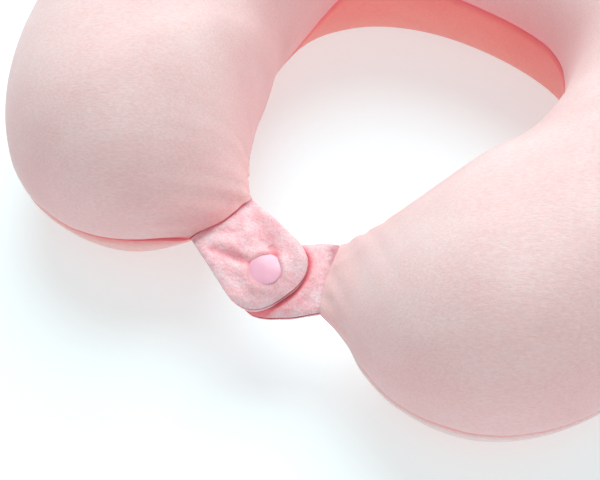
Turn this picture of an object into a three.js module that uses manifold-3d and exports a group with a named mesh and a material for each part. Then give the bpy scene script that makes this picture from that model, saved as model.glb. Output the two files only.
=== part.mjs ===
// U-shaped travel neck pillow: a memory foam core in a thin liner, inside a zipped velour cover whose two
// arms are joined in front by a pair of snap-fastened tabs.
// Millimetres, +Z up. The pillow stands on Z = 0, the middle of the back is at +Y, the tabs are at -Y,
// and the plane X = 0 is the plane of symmetry of the cover.
import * as THREE from 'three';
import { mergeVertices } from 'three/addons/utils/BufferGeometryUtils.js';
import Module from 'manifold-3d';

const wasm = await Module();
wasm.setup();

// ---------------------------------------------------------------- driving dimensions
const DEGREE = Math.PI / 180;
const CLEARANCE = 0.3; // between neighbouring pieces

// Strap seam: where a tab leaves the tip of an arm (given for the +X arm). Both seams and both tabs lie in
// one plane, the strap plane, which is lower in front.
const STRAP_SEAM = { x: 26, y: -99.2, z: 40, halfWidth: 13.9 };
const STRAP_TILT = 15 * DEGREE;
const SEAM_HEADING = 24 * DEGREE; // how far the end of the arm faces forward of straight across

// One arm of the plan outline: points on the inner and outer edge, and how fast each edge runs past the
// distance s, measured along the middle of the arm from the middle of the back.
const seamOut = [Math.sin(SEAM_HEADING), -Math.cos(SEAM_HEADING) * Math.cos(STRAP_TILT)];
const seamCorner = (side) => [
  STRAP_SEAM.x + side * STRAP_SEAM.halfWidth * seamOut[0],
  STRAP_SEAM.y + side * STRAP_SEAM.halfWidth * seamOut[1],
];
const STATIONS = [
  { s: 0, inner: [0, 44], innerRun: [0.63, 0], outer: [0, 130], outerRun: [1.65, 0] },
  { s: 150, inner: [56, 3], innerRun: [0, -0.74], outer: [144.5, -27.5], outerRun: [0, -1.6] },
  { s: 245, inner: [48, -35.5], innerRun: [-0.18, -0.59], outer: [78, -130], outerRun: [-1.42, 0] },
  { s: 290, inner: seamCorner(-1), innerRun: [-0.75, -0.65], outer: seamCorner(1), outerRun: [-0.98, 0.64] },
];
const ARM_LENGTH = STATIONS.at(-1).s;

// Heights: of the widest level above the table, and of the crown above that level.
const SEAM_HEIGHT = { back: 47, side: 40, lobe: 38.5, levelTo: 60 };
const CROWN = { back: 38, side: 58, lobe: 54 };
const UNDERSIDE_FLAT = 5; // how far the weight of the foam flattens the underside
const FLOOR_SPACING = 1.5; // the layers lie this much further apart over the flat of the underside
const TIP = { length: 62, halfHeight: 2.2, steps: 8 }; // the last stretch, drawn in to the strap
const ROLL = { from: 235, to: 285, end: Math.asin(Math.cos(SEAM_HEADING) * Math.sin(STRAP_TILT)) };
const TOP_ROUNDNESS = 0.9; // superellipse powers of the cross-section
const BOTTOM_ROUNDNESS = 1.1;
// How far round the section each side seam lies below the widest level of the arms; it rises to that level
// at the back and at the tips.
const OUTER_DROP = { angle: 11 * DEGREE, from: 70, full: 130, fadeFrom: 245, to: 272 };
const INNER_DROP = { angle: 32 * DEGREE, from: 90, full: 190, fadeFrom: 258, to: 288 };

// Soft layers
const COVER_THICKNESS = 1.8;
const LINER_THICKNESS = 0.5;
const LINER_INSET = 3.4; // liner's outer face below the cover's outer face
const FOAM_INSET = 6;
const SEAM_HALF_GAP = 0.15;
const INNER_END = 6; // how far short of the strap seam the foam and its liner stop
const RING_STEPS = 8; // facets from seam to seam across one panel

// Zip in the side seam around the back: its chain lies on an arc about the Z axis.
const ZIP = { radius: 130, z: SEAM_HEIGHT.back, halfAngle: 37 * DEGREE, opening: 3.5, relief: 3.4 };
const TAPE = { inset: 3.6, thickness: 0.5, from: 0.9, to: 8 };
const COIL = { inset: 1.1, thickness: 2.2, from: 0.75, to: 2.2 };
const STOP = { halfLength: 1, bottomHalfLength: 1.3, inner: 0.1, outer: 0.4 };
const SLIDER = { angle: 33.5 * DEGREE, halfLength: 5, halfWidth: 3.1, plate: 1.1, innerPlate: 0.9, wedge: 1 };
const FLANGE = { thickness: 0.6, depth: 1.1, edge: 0.05 };
const CROWN_LOOP = { reach: 2.8, wall: 0.8, width: 1.2, height: 2.9 };
const WELD = 0.2; // how far parts of one moulding run into each other
const PULL = { length: 24, halfWidth: 2.6, thickness: 1, eyeLength: 3.6, eyeHalfWidth: 1.1, pin: 1.05 };

// Tabs and the plastic snap that joins them. Each tab runs from the middle of its strap seam straight
// towards the snap, widens a little, and ends in half a superellipse.
const TAB = { layer: 1.4, rootGap: 2.3, rootHalf: 13.6, rise: 15 };
const TAB_END = { length: 14.4, power: 2.6, pastSnap: 12.3 };
const UPPER_TAB = { side: -1, level: 1, endHalf: 16.5 };
const LOWER_TAB = { side: 1, level: -1, endHalf: 15.2 };
const SNAP = { x: 3.2, y: -11.6 }; // in the strap plane, from the middle of the line between the two seams
const CAP = { radius: 6.2, edge: 0.7, dome: 0.9, post: 1.1, head: 1.55, headHeight: 0.5 };
const SOCKET = { radius: 5.35, height: 3, base: 0.8, bore: 2.7 };
const STUD = { radius: 5.35, flange: 0.8, knob: 2.1, bore: 1.75, knobHeight: 1.3 };
const POST_HOLE = 1.4;

// ---------------------------------------------------------------- materials
const cloth = (colour) => new THREE.MeshStandardMaterial({ color: colour, roughness: 0.95, metalness: 0 });
const MATERIAL = {
  velour: cloth(0xe9c6c6),
  plush: cloth(0xf0a9ae),
  tape: cloth(0xe8a6a8),
  liner: cloth(0xf3f1ec),
  foam: cloth(0xf4ead2),
  coil: new THREE.MeshStandardMaterial({ color: 0xe79ea3, roughness: 0.5, metalness: 0 }),
  slider: new THREE.MeshStandardMaterial({ color: 0xe39aa0, roughness: 0.35, metalness: 0.2 }),
  snap: new THREE.MeshStandardMaterial({ color: 0xefc3d4, roughness: 0.3, metalness: 0 }),
};

// ---------------------------------------------------------------- general geometry helpers
const smooth = (x) => {
  const u = THREE.MathUtils.clamp(x, 0, 1);
  return u * u * (3 - 2 * u);
};
const power = (value, exponent) => Math.sign(value) * Math.abs(value) ** exponent;

function piece(name, geometry, material) {
  const mesh = new THREE.Mesh(geometry, material);
  mesh.name = name;
  return mesh;
}

function toSolid(geometry) {
  const bare = geometry.clone();
  bare.deleteAttribute('normal');
  bare.deleteAttribute('uv');
  const merged = mergeVertices(bare.index ? bare.toNonIndexed() : bare, 1e-4);
  return new wasm.Manifold(
    new wasm.Mesh({
      numProp: 3,
      vertProperties: new Float32Array(merged.attributes.position.array),
      triVerts: new Uint32Array(merged.index.array),
    }),
  );
}

function toGeometry(solid) {
  const { vertProperties, triVerts } = solid.getMesh();
  const geometry = new THREE.BufferGeometry();
  geometry.setAttribute('position', new THREE.BufferAttribute(new Float32Array(vertProperties), 3));
  geometry.setIndex(new THREE.BufferAttribute(new Uint32Array(triVerts), 1));
  geometry.computeVertexNormals();
  return geometry;
}

function box(x0, x1, y0, y1, z0, z1) {
  const middle = [(x0 + x1) / 2, (y0 + y1) / 2, (z0 + z1) / 2];
  return new THREE.BoxGeometry(x1 - x0, y1 - y0, z1 - z0).translate(...middle);
}

// A solid of revolution about +Z, from [radius, height] points given anticlockwise. The profile runs from
// axis to axis, or is closed on itself where it stays clear of the axis.
function turned(points, segments = 28) {
  const closing = points[0][0] > 0 ? [points[0]] : [];
  const profile = [...points, ...closing].map(([r, z]) => new THREE.Vector2(r, z));
  return new THREE.LatheGeometry(profile, segments).rotateX(Math.PI / 2);
}

// A solid lofted through rows of cross-section rings, every ring having the same number of points.
// `cap(n)` lists the triangles that close one ring of n points.
function loft(rows, cap) {
  const n = rows[0].length;
  const index = [];
  for (let i = 0; i + 1 < rows.length; i += 1) {
    const firstHalf = 2 * i < rows.length - 1; // the facets of the two arms mirror each other
    for (let j = 0; j < n; j += 1) {
      const [a, b] = [i * n + j, i * n + ((j + 1) % n)];
      index.push(...(firstHalf ? [a, b, a + n, b, b + n, a + n] : [a, b, b + n, a, b + n, a + n]));
    }
  }
  const last = (rows.length - 1) * n;
  for (const [a, b, c] of cap(n)) {
    index.push(a, c, b, last + a, last + b, last + c);
  }
  const geometry = new THREE.BufferGeometry();
  geometry.setAttribute('position', new THREE.Float32BufferAttribute(rows.flat(2), 3));
  geometry.setIndex(index);
  geometry.computeVertexNormals();
  return geometry;
}

const fanCap = (n) => Array.from({ length: n - 2 }, (_, j) => [0, j + 1, j + 2]);

// Closes a ring made of an outer run of points followed by as many inner points running back.
const stripCap = (n) =>
  Array.from({ length: n / 2 - 1 }, (_, j) => [
    [j, j + 1, n - 1 - j],
    [j + 1, n - 2 - j, n - 1 - j],
  ]).flat();

// ---------------------------------------------------------------- the pillow's form
// Hermite run of one edge of the outline at distance s from the middle of the back.
function edge(s, point, run) {
  const next = Math.max(1, STATIONS.findIndex((station) => station.s >= s));
  const [a, b] = [STATIONS[next - 1], STATIONS[next]];
  const span = b.s - a.s;
  const u = (s - a.s) / span;
  const terms = [
    [2 * u ** 3 - 3 * u ** 2 + 1, a[point]],
    [span * (u ** 3 - 2 * u ** 2 + u), a[run]],
    [3 * u ** 2 - 2 * u ** 3, b[point]],
    [span * (u ** 3 - u ** 2), b[run]],
  ];
  return [0, 1].map((k) => terms.reduce((sum, [weight, value]) => sum + weight * value[k], 0));
}

function alongArm(s, { back, side, lobe, levelTo = 0 }) {
  const [, atSide, atLobe] = STATIONS.map((station) => station.s);
  return (
    back +
    (side - back) * smooth((s - levelTo) / (atSide - levelTo)) +
    (lobe - side) * smooth((s - atSide) / (atLobe - atSide))
  );
}

// 1 along the zip, falling to 0 within `fade` of distance past its ends.
const ZIP_REACH = 56;
const COVER_FADE = 4;
const RELIEF_FADE = 24;
const RELIEF_SPAN = { full: 24 * DEGREE, fade: 18 * DEGREE }; // the relief's reach around the section
const zipShare = (s, fade) => 1 - smooth((Math.abs(s) - ZIP_REACH) / fade);

// Cross-section at distance s (negative on the -X arm), drawn in by `inset` from the cover's outer face.
function section(s, inset) {
  const distance = Math.abs(s);
  const mirror = s < 0 ? -1 : 1;
  const [inner, outer] = [edge(distance, 'inner', 'innerRun'), edge(distance, 'outer', 'outerRun')];
  const across = [outer[0] - inner[0], outer[1] - inner[1]];
  const width = Math.hypot(...across);
  const drawnIn = THREE.MathUtils.clamp((distance - ARM_LENGTH + TIP.length) / TIP.length, 0, 1);
  const fullness = 1 - drawnIn ** 2;
  const tipTo = (full) => TIP.halfHeight + (full - TIP.halfHeight) * fullness;
  const seam = alongArm(distance, SEAM_HEIGHT);
  const roll = ROLL.end * smooth((distance - ROLL.from) / (ROLL.to - ROLL.from));
  return {
    mirror,
    roll,
    middle: [(inner[0] + outer[0]) / 2, (inner[1] + outer[1]) / 2],
    outward: [across[0] / width, across[1] / width],
    half: width / 2 / Math.cos(roll) - inset,
    z: STRAP_SEAM.z + (seam - STRAP_SEAM.z) * fullness,
    top: Math.max(tipTo(alongArm(distance, CROWN)) - inset, 0.4),
    bottom: Math.max(tipTo(seam + UNDERSIDE_FLAT) - inset, 0.4),
    floor: FLOOR_SPACING * inset,
  };
}

// Point of a section at angle phi: 0 on the outer side, 90 degrees at the crown, 180 on the inner side.
function onSection(form, phi, relief = 0) {
  const roundness = Math.sin(phi) >= 0 ? TOP_ROUNDNESS : BOTTOM_ROUNDNESS;
  const height = Math.sin(phi) >= 0 ? form.top : form.bottom;
  const fromSeam = Math.abs(Math.atan2(Math.sin(phi), Math.cos(phi)));
  const nearZip = 1 - smooth((fromSeam - RELIEF_SPAN.full) / RELIEF_SPAN.fade);
  const across = form.half * power(Math.cos(phi), roundness) - relief * nearZip;
  const rise = height * power(Math.sin(phi), roundness);
  const out = across * Math.cos(form.roll) + rise * Math.sin(form.roll);
  return [
    form.mirror * (form.middle[0] + form.outward[0] * out),
    form.middle[1] + form.outward[1] * out,
    Math.max(form.z + rise * Math.cos(form.roll) - across * Math.sin(form.roll), form.floor),
  ];
}

// Distances of the cross-sections along one arm, closer together where the tip is drawn in.
function armDistances(end) {
  const tipStart = ARM_LENGTH - TIP.length;
  const run = (from, to, steps) => Array.from({ length: steps }, (_, i) => from + ((to - from) * i) / steps);
  const tip = run(0, 1, TIP.steps).map((u) => tipStart + TIP.length * Math.sin(u * 90 * DEGREE));
  const all = [
    ...run(0, ZIP_REACH, 4),
    ZIP_REACH,
    ...run(ZIP_REACH + COVER_FADE, tipStart, 11),
    ...tip,
    ARM_LENGTH,
  ];
  return [...all.filter((s) => s < end - 1), end];
}

function wholeLength(end) {
  const arm = armDistances(end);
  return [...arm.slice(1).map((s) => -s).reverse(), ...arm];
}

function seamDrop(s, { angle, from, full, fadeFrom, to }) {
  const distance = Math.abs(s);
  const below = smooth((distance - from) / (full - from));
  return angle * below * (1 - smooth((distance - fadeFrom) / (to - fadeFrom)));
}

// ---------------------------------------------------------------- soft pieces
// One panel of the cover: side +1 is the top, -1 the underside.
function coverPanel(side) {
  const halfGap = (s) => SEAM_HALF_GAP + (ZIP.opening - SEAM_HALF_GAP) * zipShare(s, COVER_FADE);
  const run = (s, inset) => {
    const form = section(s, inset);
    const [height, roundness] = side > 0 ? [form.top, TOP_ROUNDNESS] : [form.bottom, BOTTOM_ROUNDNESS];
    const past = (gap) => Math.max(Math.asin((gap / height) ** (1 / roundness)), gap / form.bottom);
    const from = past(halfGap(s)) - side * seamDrop(s, OUTER_DROP);
    const to = Math.PI + side * seamDrop(s, INNER_DROP) - past(SEAM_HALF_GAP);
    const angles = Array.from({ length: RING_STEPS + 1 }, (_, j) => from + ((to - from) * j) / RING_STEPS);
    return angles.map((phi) => onSection(form, side * phi));
  };
  const rows = wholeLength(ARM_LENGTH).map((s) => [...run(s, 0), ...run(s, COVER_THICKNESS).reverse()]);
  if (side < 0) rows.forEach((row) => row.reverse());
  return loft(rows, stripCap);
}

// Angles all round a section, apart from a narrow slit at the outer seam.
const SLIT = 1.2 * DEGREE;
const ringAngles = Array.from(
  { length: 2 * RING_STEPS + 1 },
  (_, j) => SLIT + ((Math.PI - SLIT) * j) / RING_STEPS,
);

function innerRun(s, inset) {
  const form = section(s, inset);
  return ringAngles.map((phi) => onSection(form, phi, ZIP.relief * zipShare(s, RELIEF_FADE)));
}

function foamCore() {
  return loft(wholeLength(ARM_LENGTH - INNER_END).map((s) => innerRun(s, FOAM_INSET)), fanCap);
}

// The liner is a thin sock with a slit along its outer side, where the foam goes in.
function innerLiner() {
  const rows = wholeLength(ARM_LENGTH - INNER_END).map((s) => [
    ...innerRun(s, LINER_INSET),
    ...innerRun(s, LINER_INSET + LINER_THICKNESS).reverse(),
  ]);
  return loft(rows, stripCap);
}

// ---------------------------------------------------------------- zip
// A band that follows the zip's arc, between two radii and two heights.
function arcBand(r0, r1, z0, z1, halfAngle, segments = 22) {
  const shape = new THREE.Shape();
  const [from, to] = [Math.PI / 2 - halfAngle, Math.PI / 2 + halfAngle];
  const at = (r, i) => {
    const angle = from + ((to - from) * i) / segments;
    return [r * Math.cos(angle), r * Math.sin(angle)];
  };
  shape.moveTo(...at(r1, 0));
  for (let i = 1; i <= segments; i += 1) shape.lineTo(...at(r1, i));
  for (let i = segments; i >= 0; i -= 1) shape.lineTo(...at(r0, i));
  return new THREE.ExtrudeGeometry(shape, { depth: z1 - z0, bevelEnabled: false }).translate(0, 0, z0);
}

function zipTape(side) {
  const [r0, r1] = [ZIP.radius - TAPE.inset - TAPE.thickness, ZIP.radius - TAPE.inset];
  const heights = side > 0 ? [TAPE.from, TAPE.to] : [-TAPE.to, -TAPE.from];
  return arcBand(r0, r1, ...heights, ZIP.halfAngle + 0.5 * DEGREE).translate(0, 0, ZIP.z);
}

function zipCoil(side) {
  const [r0, r1] = [ZIP.radius - COIL.inset - COIL.thickness, ZIP.radius - COIL.inset];
  const heights = side > 0 ? [COIL.from, COIL.to] : [-COIL.to, -COIL.from];
  return arcBand(r0, r1, ...heights, ZIP.halfAngle - 1 * DEGREE).translate(0, 0, ZIP.z);
}

// Pieces on the chain are drawn with +Y pointing out of the pillow and X along the chain, then turned to
// their place on the arc; a positive angle is towards +X.
function onChain(angle, ...meshes) {
  const group = new THREE.Group();
  group.rotation.z = -angle;
  group.position.z = ZIP.z;
  group.add(...meshes);
  return group;
}

const coilFace = ZIP.radius - COIL.inset;
const stopDepth = [coilFace - COIL.thickness - STOP.inner, coilFace + STOP.outer];

function topStop(side) {
  const [from, to] = [COIL.from - STOP.inner, COIL.to + STOP.outer];
  return box(-STOP.halfLength, STOP.halfLength, ...stopDepth, ...(side > 0 ? [from, to] : [-to, -from]));
}

function bottomStop() {
  const to = COIL.to + STOP.outer;
  return box(-STOP.bottomHalfLength, STOP.bottomHalfLength, ...stopDepth, -to, to);
}

function sliderPlate(y0, y1) {
  const { halfLength: l, halfWidth: w } = SLIDER;
  const shape = new THREE.Shape();
  shape.moveTo(-l, -0.8 * w);
  shape.quadraticCurveTo(-0.2 * l, -0.85 * w, 0.3 * l, -w);
  shape.quadraticCurveTo(l, -w, l, -0.35 * w);
  shape.lineTo(l, 0.35 * w);
  shape.quadraticCurveTo(l, w, 0.3 * l, w);
  shape.quadraticCurveTo(-0.2 * l, 0.85 * w, -l, 0.8 * w);
  return new THREE.ExtrudeGeometry(shape, { depth: y1 - y0, bevelEnabled: false, curveSegments: 6 })
    .rotateX(Math.PI / 2)
    .translate(0, y1, 0);
}

function sliderBody() {
  const { halfLength: l, halfWidth: w, plate, wedge } = SLIDER;
  const chainOut = ZIP.radius - COIL.inset + CLEARANCE;
  const tapeIn = ZIP.radius - TAPE.inset - TAPE.thickness - CLEARANCE;
  const parts = [sliderPlate(chainOut, chainOut + plate), sliderPlate(tapeIn - SLIDER.innerPlate, tapeIn)];
  parts.push(box(-0.1 * l, 0.7 * l, tapeIn - WELD, chainOut + WELD, -wedge / 2, wedge / 2));
  const [z0, z1] = [w - FLANGE.edge - FLANGE.thickness, w - FLANGE.edge];
  for (const heights of [[z0, z1], [-z1, -z0]]) {
    parts.push(box(0.1 * l, 0.5 * l, chainOut - FLANGE.depth, chainOut + WELD, ...heights));
  }
  const { reach, wall, width, height } = CROWN_LOOP;
  const top = chainOut + plate + height;
  parts.push(box(-reach, reach, top - wall, top, -width / 2, width / 2));
  for (const x of [-reach, reach - wall]) {
    parts.push(box(x, x + wall, chainOut + plate - WELD, top - wall / 2, -width / 2, width / 2));
  }
  return toGeometry(wasm.Manifold.union(parts.map(toSolid)));
}

// The pull lies along the chain at rest, its pin through the slider's loop.
function zipPull() {
  const { length, halfWidth: w, thickness, eyeLength, eyeHalfWidth } = PULL;
  const shape = new THREE.Shape();
  shape.moveTo(thickness / 2, -w);
  shape.lineTo(thickness / 2, w);
  shape.lineTo(-length + w, 0.85 * w);
  shape.absarc(-length + w, 0, 0.85 * w, Math.PI / 2, 1.5 * Math.PI, false);
  shape.closePath();
  const eye = new THREE.Path();
  eye.moveTo(-thickness / 2, -eyeHalfWidth);
  eye.lineTo(-eyeLength, -eyeHalfWidth);
  eye.lineTo(-eyeLength, eyeHalfWidth);
  eye.lineTo(-thickness / 2, eyeHalfWidth);
  eye.closePath();
  const grip = new THREE.Path();
  grip.absarc(-length + 1.1 * w, 0, 0.4 * w, 0, 2 * Math.PI, true);
  shape.holes.push(eye, grip);
  return new THREE.ExtrudeGeometry(shape, { depth: thickness, bevelEnabled: false, curveSegments: 8 })
    .rotateX(Math.PI / 2)
    .translate(0, ZIP.radius - COIL.inset + CLEARANCE + SLIDER.plate + PULL.pin + thickness / 2, 0);
}

// ---------------------------------------------------------------- tabs and snap
// Each tab is drawn with X running from its strap seam towards its end, and Z square to the strap plane;
// its middle is TAB_LIFT above the plane at the snap, or as far below it for the lower tab.
const SNAP_STACK = SOCKET.height + STUD.flange + 3 * CLEARANCE;
const TAB_LIFT = SNAP_STACK / 2 + TAB.layer + CLEARANCE / 2;
const PRISM = 30; // height of the cutting shapes, more than any tab

// The snap's distance from the middle of a tab's strap seam, and the tab's heading in the strap plane.
const snapReach = (tab) => Math.hypot(SNAP.x - tab.side * STRAP_SEAM.x, SNAP.y);
const turnOf = (tab) => Math.atan2(SNAP.y, SNAP.x - tab.side * STRAP_SEAM.x);

function tabOutline(tab) {
  const { length, pastSnap } = TAB_END;
  const endStart = snapReach(tab) + pastSnap - length;
  const outline = new THREE.Shape();
  outline.moveTo(0, -TAB.rootHalf);
  for (let step = -12; step <= 12; step += 1) {
    const angle = (step / 12) * 90 * DEGREE;
    const along = length * power(Math.max(Math.cos(angle), 0), 2 / TAB_END.power);
    outline.lineTo(endStart + along, tab.endHalf * power(Math.sin(angle), 2 / TAB_END.power));
  }
  outline.lineTo(0, TAB.rootHalf);
  outline.closePath();
  return outline;
}

function tabLayer(tab, z0, z1) {
  const middle = (x) => tab.level * TAB_LIFT * smooth((x - TAB.rootGap) / TAB.rise);
  const risingPart = Array.from({ length: 9 }, (_, i) => TAB.rootGap + (TAB.rise * i) / 8);
  const xs = [...risingPart, snapReach(tab) + 2 * TAB_END.pastSnap];
  const side = new THREE.Shape();
  side.moveTo(xs[0], middle(xs[0]) + z0);
  xs.slice(1).forEach((x) => side.lineTo(x, middle(x) + z0));
  [...xs].reverse().forEach((x) => side.lineTo(x, middle(x) + z1));
  const reach = 2 * tab.endHalf;
  const slab = new THREE.ExtrudeGeometry(side, { depth: 2 * reach, bevelEnabled: false })
    .rotateX(Math.PI / 2)
    .translate(0, reach, 0);
  const upright = { depth: PRISM, bevelEnabled: false };
  const prism = new THREE.ExtrudeGeometry(tabOutline(tab), upright).translate(0, 0, -PRISM / 2);
  const hole = new THREE.CylinderGeometry(POST_HOLE, POST_HOLE, PRISM, 24).rotateX(Math.PI / 2);
  hole.translate(snapReach(tab), 0, 0);
  return toGeometry(toSolid(slab).intersect(toSolid(prism)).subtract(toSolid(hole)));
}

// Domed cap with its post, drawn standing on Z = 0 with the post pointing down through the tab.
function snapCap(postLength) {
  const dome = [0, 18, 36, 54, 72].map((a) => [
    CAP.radius * Math.cos(a * DEGREE),
    CAP.edge + CAP.dome * Math.sin(a * DEGREE),
  ]);
  return turned([
    [0, -postLength],
    [CAP.head, -postLength],
    [CAP.head, -postLength + CAP.headHeight],
    [CAP.post, -postLength + CAP.headHeight],
    [CAP.post, 0],
    [CAP.radius - 0.3, 0],
    ...dome,
    [0, CAP.edge + CAP.dome],
  ]);
}

function snapSocket() {
  const { radius, height, base, bore } = SOCKET;
  return turned([
    [POST_HOLE, -base],
    [bore, -base],
    [bore, -height + 0.3],
    [bore + 0.3, -height],
    [radius - 1.1, -height],
    [radius - 0.8, -base],
    [radius, -base + 0.2],
    [radius, 0],
    [POST_HOLE, 0],
  ]);
}

function snapStud() {
  const { radius, flange, knob, bore, knobHeight } = STUD;
  return turned([
    [POST_HOLE, 0],
    [radius, 0],
    [radius, flange - 0.2],
    [radius - 0.4, flange],
    [knob, flange],
    [knob, flange + knobHeight - 0.3],
    [knob - 0.3, flange + knobHeight],
    [bore, flange + knobHeight],
    [bore, flange],
    [POST_HOLE, flange],
  ]);
}

// One tab with its two snap parts. `outerPart` is the domed cap on the side that faces away from the other
// tab, and `innerPart` the socket or stud; both are drawn outwards from the cloth they are riveted to.
function tabGroup(tab, names, postLength, innerPart) {
  const group = new THREE.Group();
  group.position.x = tab.side * STRAP_SEAM.x;
  group.rotation.z = turnOf(tab);
  const away = tab.level;
  const middle = away * TAB_LIFT;
  const [near, far] = [CLEARANCE / 2, CLEARANCE / 2 + TAB.layer];
  const cap = piece(names.cap, snapCap(postLength), MATERIAL.snap);
  cap.position.set(snapReach(tab), 0, middle + away * (far + CLEARANCE));
  if (away < 0) cap.rotation.x = Math.PI;
  const inner = piece(names.inner, innerPart, MATERIAL.snap);
  inner.position.set(snapReach(tab), 0, middle - away * (far + CLEARANCE));
  group.add(
    piece(names.face, tabLayer(tab, near, far), MATERIAL.plush),
    piece(names.lining, tabLayer(tab, -far, -near), MATERIAL.plush),
    cap,
    inner,
  );
  return group;
}

// Cloth, clearances and rivet head between a cap's underside and the end of its post.
const RIVETED = 2 * TAB.layer + 4 * CLEARANCE + CAP.headHeight;

function upperTab() {
  const names = {
    face: 'upper_tab_face',
    lining: 'upper_tab_lining',
    cap: 'snap_cap',
    inner: 'snap_socket',
  };
  return tabGroup(UPPER_TAB, names, RIVETED + SOCKET.base, snapSocket());
}

function lowerTab() {
  const names = {
    face: 'lower_tab_face',
    lining: 'lower_tab_lining',
    cap: 'snap_back_cap',
    inner: 'snap_stud',
  };
  return tabGroup(LOWER_TAB, names, RIVETED + STUD.flange, snapStud());
}

function strap() {
  const plane = new THREE.Group();
  plane.position.set(0, STRAP_SEAM.y, STRAP_SEAM.z);
  plane.rotation.x = STRAP_TILT;
  return plane.add(upperTab(), lowerTab());
}

// ---------------------------------------------------------------- assembly
const pillow = new THREE.Group();
pillow.name = 'u_shaped_neck_pillow';
pillow.add(
  piece('foam_core', foamCore(), MATERIAL.foam),
  piece('inner_liner', innerLiner(), MATERIAL.liner),
  piece('cover_top_panel', coverPanel(1), MATERIAL.velour),
  piece('cover_bottom_panel', coverPanel(-1), MATERIAL.velour),
  piece('zip_tape_upper', zipTape(1), MATERIAL.tape),
  piece('zip_tape_lower', zipTape(-1), MATERIAL.tape),
  piece('zip_coil_upper', zipCoil(1), MATERIAL.coil),
  piece('zip_coil_lower', zipCoil(-1), MATERIAL.coil),
  onChain(
    ZIP.halfAngle - 0.4 * DEGREE,
    piece('zip_top_stop_upper', topStop(1), MATERIAL.coil),
    piece('zip_top_stop_lower', topStop(-1), MATERIAL.coil),
  ),
  onChain(-ZIP.halfAngle + 0.3 * DEGREE, piece('zip_bottom_stop', bottomStop(), MATERIAL.coil)),
  onChain(
    SLIDER.angle,
    piece('zip_slider', sliderBody(), MATERIAL.slider),
    piece('zip_pull', zipPull(), MATERIAL.slider),
  ),
  strap(),
);

export default pillow;
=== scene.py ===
"""Looks of the U-shaped travel neck pillow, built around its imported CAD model.

Shapes are worked out in millimetres, in the model's frame, and become metres when a mesh is made.
"""

import math
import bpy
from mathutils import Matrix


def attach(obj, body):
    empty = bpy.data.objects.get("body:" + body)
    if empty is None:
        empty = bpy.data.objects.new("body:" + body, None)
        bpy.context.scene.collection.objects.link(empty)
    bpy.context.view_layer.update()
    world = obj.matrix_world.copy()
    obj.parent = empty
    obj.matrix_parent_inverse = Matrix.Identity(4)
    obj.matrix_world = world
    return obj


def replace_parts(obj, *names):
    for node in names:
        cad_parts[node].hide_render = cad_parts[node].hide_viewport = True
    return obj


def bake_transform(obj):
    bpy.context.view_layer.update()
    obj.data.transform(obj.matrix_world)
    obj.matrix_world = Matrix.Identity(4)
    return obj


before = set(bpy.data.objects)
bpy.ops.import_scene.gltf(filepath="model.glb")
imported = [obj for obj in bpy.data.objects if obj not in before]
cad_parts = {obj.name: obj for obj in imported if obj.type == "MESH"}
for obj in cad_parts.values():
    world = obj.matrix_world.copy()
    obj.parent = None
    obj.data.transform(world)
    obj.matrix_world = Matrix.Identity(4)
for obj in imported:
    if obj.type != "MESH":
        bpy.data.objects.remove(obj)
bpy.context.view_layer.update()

from types import SimpleNamespace as Sizes

import bmesh
import bpy
import numpy as np
from mathutils import Vector

MM = 0.001
DEGREE = math.pi / 180

# ---------------- driving dimensions
# They are the CAD model's own, but for INNER_DROP, which here lets the inner seam rise nearer to the tips.
# Both strap seams and both tabs lie in one plane, the strap plane, which is lower in front.
STRAP_SEAM = Sizes(x=26.0, y=-99.2, z=40.0, half_width=13.9)
STRAP_TILT = 15 * DEGREE
SEAM_HEADING = 24 * DEGREE
SEAM_HEIGHT = {"back": 47.0, "side": 40.0, "lobe": 38.5, "level_to": 60.0}
CROWN = {"back": 38.0, "side": 58.0, "lobe": 54.0, "level_to": 0.0}
UNDERSIDE_FLAT = 5.0
FLOOR_SPACING = 1.5
TIP = Sizes(length=62.0, half_height=2.2)
ROLL = {"from": 235.0, "to": 285.0, "end": math.asin(math.cos(SEAM_HEADING) * math.sin(STRAP_TILT))}
TOP_ROUNDNESS = 0.9
BOTTOM_ROUNDNESS = 1.1
OUTER_DROP = {"angle": 11 * DEGREE, "from": 70.0, "full": 130.0, "fade_from": 245.0, "to": 272.0}
INNER_DROP = {"angle": 32 * DEGREE, "from": 90.0, "full": 190.0, "fade_from": 272.0, "to": 290.0}

COVER_THICKNESS = 1.8
LINER_THICKNESS = 0.5
LINER_INSET = 3.4
FOAM_INSET = 6.0
SEAM_HALF_GAP = 0.15
INNER_END = 6.0

ZIP = Sizes(radius=130.0, z=47.0, half_angle=37 * DEGREE, opening=3.5, relief=3.4, reach=56.0)
TAPE = Sizes(inset=3.6, thickness=0.5, start=0.9, to=8.0)
COIL = Sizes(inset=1.1, thickness=2.2, to=2.2)

CLEARANCE = 0.3
TAB = Sizes(layer=1.4, root_half=13.6, root_gap=2.3, rise=15.0, lift=3.9)
TAB_END = Sizes(length=14.4, power=2.6, past_snap=12.3)
UPPER_TAB = {"body": "upper_tab", "side": -1, "level": 1, "end_half": 16.5, "droop": 2.5}
LOWER_TAB = {"body": "lower_tab", "side": 1, "level": -1, "end_half": 15.2, "droop": 0.0}
SNAP = (3.2, -11.6)  # in the strap plane, from the middle of the line between the two seams


def seam_corner(side):
    """End of the strap seam on the +X arm: side +1 is its outer end, -1 its inner end."""
    reach = side * STRAP_SEAM.half_width
    forward = math.cos(SEAM_HEADING) * math.cos(STRAP_TILT)
    return (STRAP_SEAM.x + reach * math.sin(SEAM_HEADING), STRAP_SEAM.y - reach * forward)


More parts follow.
